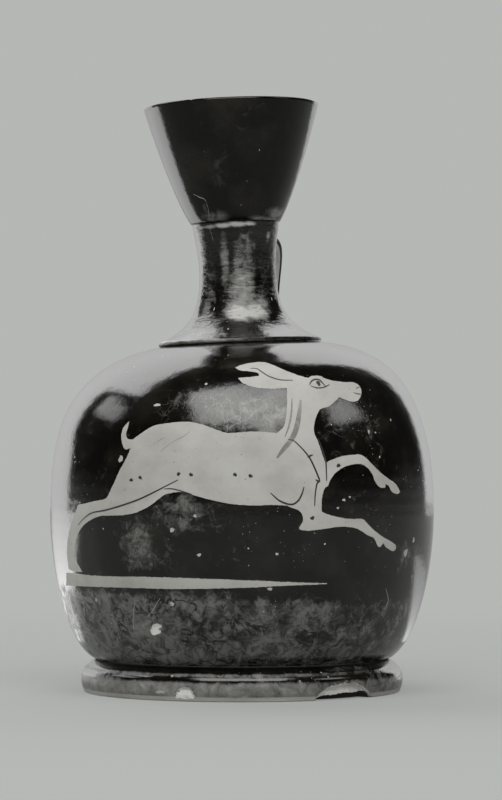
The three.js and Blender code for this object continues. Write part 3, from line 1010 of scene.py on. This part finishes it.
# Flakes of gloss lost from each piece: x and y in the photograph, real width and height
lostFlakes = {
    "body": [(157, 405, 1.6, 0.8), (172, 604, 1.0, 0.9), (206, 384, 0.6, 0.7), (120.5, 459, 1.2, 1.5),
             (406, 553, 1.4, 1.7), (414, 540, 0.9, 1.0), (270, 589, 1.2, 0.6), (344, 500, 0.7, 0.6),
             (338, 508, 0.5, 0.5), (350, 497, 0.4, 0.5), (96, 600, 0.8, 0.8), (172, 530, 1.0, 0.9),
             (195, 516, 0.7, 0.7), (199, 555, 0.8, 0.7), (277, 554, 0.6, 0.6), (325, 544, 0.4, 0.4),
             (391, 420, 0.4, 0.5), (369, 432, 0.3, 1.2), (380, 457, 0.4, 0.5), (194, 434.5, 0.5, 0.4)],
    "foot": [(160, 692, 2.4, 0.8), (172, 676, 0.7, 0.6)],
    "neck": [(268.5, 236, 1.1, 1.1), (272, 299, 0.8, 0.8), (228, 329, 1.2, 0.5), (214, 309, 0.9, 0.9)],
    "mouth": [(259.5, 150, 0.35, 0.35), (247, 181, 0.25, 0.3), (241, 205, 0.3, 0.4)],
}
hairlines = {
    # surface, real width, points in the photograph
    "mouthCrack": ("mouth", 0.15 * mm, [(193, 194), (199, 197), (204.5, 199.5), (207, 205), (208.4, 211),
                                        (209, 220)]),
    "neckCrack": ("neck", 0.13 * mm, [(209, 226), (210.5, 232), (213, 240)]),
    "scratchLeft": ("body", 0.12 * mm, [(134.6, 601), (133, 618), (134, 634)]),
    "scratchAside": ("body", 0.10 * mm, [(160, 598), (152, 611), (146, 618)]),
    "scratchRight": ("body", 0.12 * mm, [(386, 588), (388.5, 600), (385, 610)]),
}
for surface, spots in lostFlakes.items():
    loops = [blobLoop(surface, x, y, across * mm, up * mm, seeds["flakes"] + i)
             for i, (x, y, across, up) in enumerate(spots)]
    loops += [strokeLoop(surface, points, width) for on, width, points in hairlines.values() if on == surface]
    skinPiece(surface + "_flakes", surface, loops, skinLift, flakedClay)
print("hind, lines and flakes laid on")

# Breaks cut into a piece: depth at the top and at the bottom, roughness, and outline in the photograph
footBreaks = {
    "slope": (1.5 * mm, 0.5 * mm, 0.18 * mm, brokenAndLitClay, [
        (315.5, 707), (316, 698.5), (321, 692.5), (326, 688.5), (333, 685.6), (340, 684.4), (344, 682.6),
        (349, 683.6), (355, 682.8), (360, 684.6), (365, 687.6), (369.5, 692), (372.5, 698.5), (373, 707)]),
    # the undercut's face is near-black, a painted shadow beneath the broken edge
    "undercut": (3.6 * mm, 4.6 * mm, 0.10 * mm, paintedShadowBreak, [
        (316.5, 707), (317.5, 699.6), (320, 697.4), (328, 695.6), (338, 694.4), (348, 692.8), (357, 692.4),
        (365, 690.8), (369.4, 692.6), (371.6, 698), (372, 707)]),
    "shell": (0.7 * mm, 0.3 * mm, 0.07 * mm, brokenAndLitClay, [
        (175.4, 698), (176.4, 691.6), (180, 688), (185, 686.6), (190, 688.2), (193, 692.4), (193.6, 698)]),
}
bodyBreaks = {
    "round": (0.5 * mm, 0.2 * mm, 0.06 * mm, brokenAndLitClay, [
        (150.4, 629.4), (152, 625.4), (156, 623.8), (160, 624.8), (161.6, 627), (158.8, 629), (161, 631.2),
        (158.6, 634.2), (154, 634.8), (151, 632.8)]),
}


def breakAway(piece, surface, breaks, ragged=0.3, proud=1.5 * mm):
    outside, place, _ = surfaces[surface]
    for name, (depthHigh, depthLow, rough, material, outline) in breaks.items():
        line = smoothLine(outline + outline[:1], pixelSteps["break"])[:-1]
        line += np.random.default_rng(len(line)).normal(0, ragged, line.shape)
        spots, triangles = fillLoop(meetSurface(surface, line))
        angle, height = spots[:, 0], spots[:, 1]
        low, high = height.min(), height.max()
        depth = depthLow + (depthHigh - depthLow) * (height - low) / (high - low)
        depth = depth + np.random.default_rng(len(spots)).uniform(-rough, rough, len(spots))
        sides = []
        for away in (np.full(len(spots), proud), -depth):
            r = np.interp(height, outside[:, 1], outside[:, 0]) + away
            sides.append(place(r * np.sin(angle), -r * np.cos(angle), height))
        vertices, faces = closeSkin(*sides, triangles)
        cutWith(piece, newPiece(name, vertices, faces, [material], smooth=False))


breakAway(foot, "foot", footBreaks)
breakAway(body, "body", bodyBreaks)
for piece, node in ((foot, "foot"), (body, "body"), (neck, "neck"), (mouth, "mouth"), (handle, "handle")):
    settle(piece, node)
print("foot and body broken")

# Places where the gloss is thin or limed, and places where pale haze paints highlights and reflections:
# x, y, real half width and half height, strength
thinAndHighlightPlaces = {
    "body": [
        # painted window reflections: (206, 403), (236, 410), (268, 414), (336, 414), (350, 428), (118, 400)
        (180, 512, 6.5, 5.0, 0.33), (137, 545, 4.4, 6.2, 0.38),
        (160, 560, 6.0, 3.0, 0.22), (206, 403, 6.0, 4.0, 0.34),
        (236, 410, 8.0, 5.0, 0.54), (268, 414, 7.0, 5.0, 0.66),
        (405, 556, 3.5, 4.0, 0.30), (336, 414, 4.0, 3.6, 0.34),
        (350, 428, 9.0, 9.0, 0.14), (118, 400, 2.6, 2.6, 0.14),
    ],
    "neck": [
        # painted highlight and side reflections; the joint line at the top is pale and partly painted
        # highlight
        (224.5, 262, 1.1, 6.5, 0.46), (243, 258, 2.5, 6.0, 0.46),
        (243, 286, 3.0, 5.0, 0.70), (239, 312, 3.3, 2.2, 1.10),
        (256, 311, 3.2, 2.4, 1.00), (262, 303, 1.6, 2.0, 0.60),
        (205, 334, 8.0, 1.8, 0.45), (209, 285, 2.2, 9.0, 0.26),
        (268, 280, 1.2, 7.0, 0.18), (199, 228, 2.2, 0.42, 0.85),
        (210, 226.8, 2.2, 0.45, 0.95), (223, 225.4, 2.4, 0.55, 1.10),
        (237, 224.2, 2.4, 0.60, 1.20), (249, 223.0, 1.8, 0.50, 1.05),
        (268.5, 236, 0.9, 1.2, 0.50),
    ],
    "mouth": [
        # the first two: a painted highlight along the step at the lower right
        (277, 213, 3.4, 1.5, 0.80), (264, 219, 4.4, 0.8, 0.66),
        (214, 217, 3.4, 1.3, 0.62), (205, 208, 0.8, 2.0, 0.45),
        (215, 172, 4.0, 6.0, 0.10), (253, 120, 4.0, 4.0, 0.10),
    ],
    "foot": [
        # painted reflections at the foot's ends, (105, 684) and (380, 680), and a painted highlight band,
        # (250, 682)
        (105, 684, 7.0, 3.0, 0.60), (250, 682, 12.0, 1.6, 0.16),
        (350, 668, 9.0, 1.0, 0.30), (380, 680, 5.0, 2.6, 0.26),
    ],
}
# crackle in the gloss, drawn pale where the skylight's reflection lies on the shoulder: painted highlight
crackedHighlightPlace = {"at": (228, 411), "across": 12 * mm, "up": 5.0 * mm}
# Bands of lime round a piece: lowest place, highest at the left, how much lower it is at the right,
# softness, wear, share of root marks
limeBands = {
    "body": [(0, 28.2 * mm, 4.0 * mm, 3.4 * mm, 0.42, 1.0)],
    "foot": [(0, 4.9 * mm, 0, 0.8 * mm, 0.66, 0.2), (5.4 * mm, 6.6 * mm, 0, 0.5 * mm, 0.60, 0.0)],
    "neck": [(82 * mm, 83.85 * mm, 0, 0.25 * mm, 0.75, 0.0)],
    "mouth": [],
}
limeTurn, limeLeast = math.radians(-50), 0.40  # where the bands are strongest, how strong they are opposite
thinRootShare = 0.7
fadeOff = {"power": 1.5, "spread": 1.4}
pitShares = {"body": 0.475, "foot": 0.50, "neck": 0.40, "mouth": 0.30}


# How near each vertex is to a point of the photograph, 1 there and 0 away from it
def nearTo(surface, at, spotAt, halfAcross, halfUp):
    spot = ontoSurface(surface, [spotAt])
    side = np.array([math.cos(spot[0][0]), math.sin(spot[0][0]), 0])
    away = at - skinPlaces(surface, spot, 0)[0]
    across = away @ side / halfAcross
    up = np.linalg.norm(away - np.outer(away @ side, side), axis=1) / halfUp
    return np.exp(-(across**2 + up**2) ** fadeOff["power"] / fadeOff["spread"])


# Lays lime, wear and painted highlights on the vertices as point values
def spreadWearAndHighlight(piece, surface):
    mesh = piece.data
    at = np.zeros(len(mesh.vertices) * 3)
    mesh.vertices.foreach_get("co", at)
    at = at.reshape(-1, 3)
    angle = np.arctan2(at[:, 0], -at[:, 1])
    wearAndHighlight, roots, highlightCracks = np.zeros(len(at)), np.zeros(len(at)), np.zeros(len(at))
    for low, high, slant, soft, strength, rootShare in limeBands[surface]:
        top = high - slant * (1 + np.sin(angle)) / 2
        share = np.clip((at[:, 2] - low) / soft, 0, 1) * np.clip((top - at[:, 2]) / soft, 0, 1)
        evenness = (1 + limeLeast) / 2 + (1 - limeLeast) / 2 * np.cos(angle - limeTurn)
        wearAndHighlight = np.maximum(wearAndHighlight, share * strength * evenness)
        roots = np.maximum(roots, share * rootShare)
    for x, y, halfAcross, halfUp, strength in thinAndHighlightPlaces[surface]:
        near = nearTo(surface, at, (x, y), halfAcross * mm, halfUp * mm)
        wearAndHighlight = np.maximum(wearAndHighlight, strength * near)
        if surface == "body":
            roots = np.maximum(roots, thinRootShare * near)
    if surface == "body":
        highlightCracks = nearTo(surface, at, crackedHighlightPlace["at"], crackedHighlightPlace["across"], crackedHighlightPlace["up"])
        roots *= 1 - highlightCracks
    pits = np.full(len(at), pitShares[surface])
    for name, values in (("wearAndHighlight", wearAndHighlight), ("roots", roots), ("highlightCracks", highlightCracks), ("pits", pits)):
        layer = mesh.attributes.new(name, "FLOAT", "POINT")
        layer.data.foreach_set("value", values.astype(np.float32))


for piece, surface in ((body, "body"), (foot, "foot"), (neck, "neck"), (mouth, "mouth"), (handle, "mouth")):
    spreadWearAndHighlight(piece, surface)
print("wear spread")

# Floor: one pale tone to the eye, also by way of gloss or glass, with the flask's own shadow in it
paleTone = (0.464, 0.476, 0.459, 1)
floorShape = {
    "radius": 4.0,
    "sides": 96,
    "shadowTone": (0.25, 0.256, 0.248, 1),  # of the share that takes the shadow
    "shadowShare": 0.5,
    "shadowReach": (0.10, 0.45),
}


def makeFloor(shape):
    angles = np.linspace(0, 2 * np.pi, shape["sides"], endpoint=False)
    edge = [(shape["radius"] * math.cos(a), shape["radius"] * math.sin(a), 0) for a in angles]
    faces = [[0, 1 + s, 1 + (s + 1) % shape["sides"]] for s in range(shape["sides"])]
    material, tree, place = newMaterial("paleGround")
    material.cycles.emission_sampling = "NONE"  # the shown tone lights nothing
    away = addNode(tree, "VectorMath", {0: place}, operation="LENGTH").outputs["Value"]
    fade = rangeNode(tree, away, *shape["shadowReach"], shape["shadowShare"], 0.0)
    shadowed = addNode(tree, "BsdfDiffuse", {"Color": shape["shadowTone"]})
    shown = addNode(tree, "Emission", {"Color": paleTone, "Strength": 1.0})
    seen = addNode(tree, "MixShader", {0: fade, 1: shown, 2: shadowed})
    lit = addNode(tree, "BsdfDiffuse", {"Color": paleTone})
    path = addNode(tree, "LightPath").outputs
    direct = mathNode(tree, "MAXIMUM", path["Is Camera Ray"], path["Is Glossy Ray"])
    anyway = mathNode(tree, "MAXIMUM", direct, path["Is Transmission Ray"])
    shownBy(material, addNode(tree, "MixShader", {0: anyway, 1: lit, 2: seen}))
    newPiece("pale_floor", [(0, 0, 0)] + edge, faces, [material], smooth=False)


makeFloor(floorShape)

# Studio: lit paper behind the flask and on the ground at its sides, dark curtains round the viewer's side
# and three windows.
# Places are given as turns from the front towards +X and as height angles, in degrees.
studio = {
    "radius": 2.4,
    "paperTurns": (142, 224),
    "paperTop": 65,
    # at the left the paper's upper corner is cut off: turns and tops of what is left
    "paperEdge": ((224, 226, 229, 234), (34, 26, 13.5, 8)),
    # and a wing goes on from there above the left window: turns, lows and highs
    "paperWing": ((-136, -121, -109, -96), (34, 41.6, 44.5, 46.5), (65, 61.5, 56.5, 48.5)),
    "curtainTone": (0.05, 0.05, 0.05, 1),
    "curtainHem": (0.30, 0.14),  # its glow at the ground, and up to this height's sine
    "paperMiddle": 0.464,  # straight behind, the paper is as pale as the ground looks
    "paperFlanks": 6.2,
    "flanksAt": 0.3,  # the glow grows evenly until its direction has this much of Y
    "cardAside": 54 * mm,  # cards lie on the ground this far to the sides
    "clothSteps": (24, 12),
    "cardSteps": 16,
}
cards = {
    # turns, nearest and furthest distance, share of the paper's glow
    "left_card": ((-112, -143), 0, 0.15, 0.5),
    "far_left_card": ((-112, -160), 0.15, 2.3, 1.1),
    "right_card": ((120, 158), 0, 0.28, 0.4),
}


def towards(turn, rise):
    turn, rise = math.radians(turn), math.radians(rise)
    return Vector((math.sin(turn) * math.cos(rise), -math.cos(turn) * math.cos(rise), math.sin(rise)))


# Part of a shell round the flask. Its lower and upper edges are given at its turns.
def hangCloth(name, turns, lows, highs, material, nearness=1.0):
    across, up = studio["clothSteps"]
    steps = np.linspace(turns[0], turns[-1], across + 1)
    low, high = np.interp(steps, turns, lows), np.interp(steps, turns, highs)
    vertices = [nearness * studio["radius"] * towards(turn, low[i] + (high[i] - low[i]) * row / up)
                for row in range(up + 1) for i, turn in enumerate(steps)]
    corners = [row * (across + 1) + s for row in range(up) for s in range(across)]
    faces = [[a, a + 1, a + across + 2, a + across + 1] for a in corners]
    cloth = newPiece(name, vertices, faces, [material], smooth=False)
    cloth.visible_camera = False


# The parts of the direction from the flask
def directionNode(tree, place):
    away = addNode(tree, "VectorMath", {0: place}, operation="NORMALIZE")
    return addNode(tree, "SeparateXYZ", {0: away}).outputs


def makeCurtain(look):
    material, tree, place = newMaterial("darkCurtain")
    glow, reach = look["curtainHem"]
    hem = rangeNode(tree, directionNode(tree, place)["Z"], 0.0, reach, glow, 0.0)
    cloth = addNode(tree, "BsdfDiffuse", {"Color": look["curtainTone"]})
    lit = addNode(tree, "Emission", {"Strength": hem})
    return shownBy(material, addNode(tree, "AddShader", {0: cloth, 1: lit}))


# A glow that depends on the direction from the flask, weakest straight behind
def makePaper(name, look, share):
    material, tree, place = newMaterial(name)
    glow = rangeNode(tree, directionNode(tree, place)["Y"], 1.0, look["flanksAt"],
                     look["paperMiddle"] * share, look["paperFlanks"] * share, "LINEAR")
    return shownBy(material, addNode(tree, "Emission", {"Strength": glow}))


# A card on the ground between two turns and two distances, which only the gloss mirrors
def layCard(name, turns, near, far, share):
    material, vertices, steps = makePaper(name, studio, share), [], studio["cardSteps"]
    for turn in np.radians(np.linspace(*turns, steps + 1)):
        for away in (max(near, studio["cardAside"] / abs(math.sin(turn))), far):
            vertices.append((away * math.sin(turn), -away * math.cos(turn), 1 * mm))
    faces = [[2 * i, 2 * i + 1, 2 * i + 3, 2 * i + 2] for i in range(steps)]
    card = newPiece(name, vertices, faces, [material], smooth=False)
    card.visible_camera = card.visible_diffuse = card.visible_shadow = False


def makeWorld(tone):
    world = bpy.data.worlds.new("studio")
    bpy.context.scene.world = world
    world.use_nodes = True
    tree = world.node_tree
    tree.nodes.clear()
    shader = addNode(tree, "Background", {"Color": tone, "Strength": 1.0})
    addNode(tree, "OutputWorld", {"Surface": shader})


lamps = {
    # turn, height angle, distance, width, height, radiance
    "skylight": (0, 54, 1.0, 1.0, 0.67, 7.0),
    "leftWindow": (-106, 31, 1.0, 0.43, 0.20, 3.2),
    "rightWindow": (76, 35, 1.0, 0.35, 0.25, 4.4),
}


def hangLamps(found, middle=Vector((0, 0, 0.07))):
    for name, (turn, rise, distance, width, height, radiance) in found.items():
        away = towards(turn, rise)
        data = bpy.data.lights.new(name, "AREA")
        data.shape = "RECTANGLE"
        data.size, data.size_y = width, height
        data.energy = radiance * math.pi * width * height
        lamp = intoScene(name, data)
        lamp.location = middle + away * distance
        lamp.rotation_mode = "QUATERNION"
        lamp.rotation_quaternion = (-away).to_track_quat("-Z", "Y")
        lamp.visible_camera = False


darkCurtain, litPaper = makeCurtain(studio), makePaper("litPaper", studio, 1.0)
paperFrom, paperTo = studio["paperTurns"]
paperTop = (studio["paperTop"],) * 2
edgeTurns, edgeTops = studio["paperEdge"]
hangCloth("front_curtain", (edgeTurns[-1] - 360, paperFrom), (0, 0), (90, 90), darkCurtain)
hangCloth("rear_ceiling", (paperFrom, edgeTurns[-1]), paperTop, (90, 90), darkCurtain)
hangCloth("dark_gap", (paperTo, edgeTurns[-1]), (0, 0), paperTop, darkCurtain, 1.02)
hangCloth("lit_paper", (paperFrom, paperTo), (0, 0), paperTop, litPaper)
hangCloth("paper_edge", edgeTurns, (0,) * len(edgeTurns), edgeTops, litPaper)
hangCloth("paper_wing", *studio["paperWing"], litPaper, 0.97)
for name, (turns, near, far, share) in cards.items():
    layCard(name, turns, near, far, share)
makeWorld(paleTone)
hangLamps(lamps)
bpy.context.scene.view_settings.view_transform = "Standard"
print("stage lit")
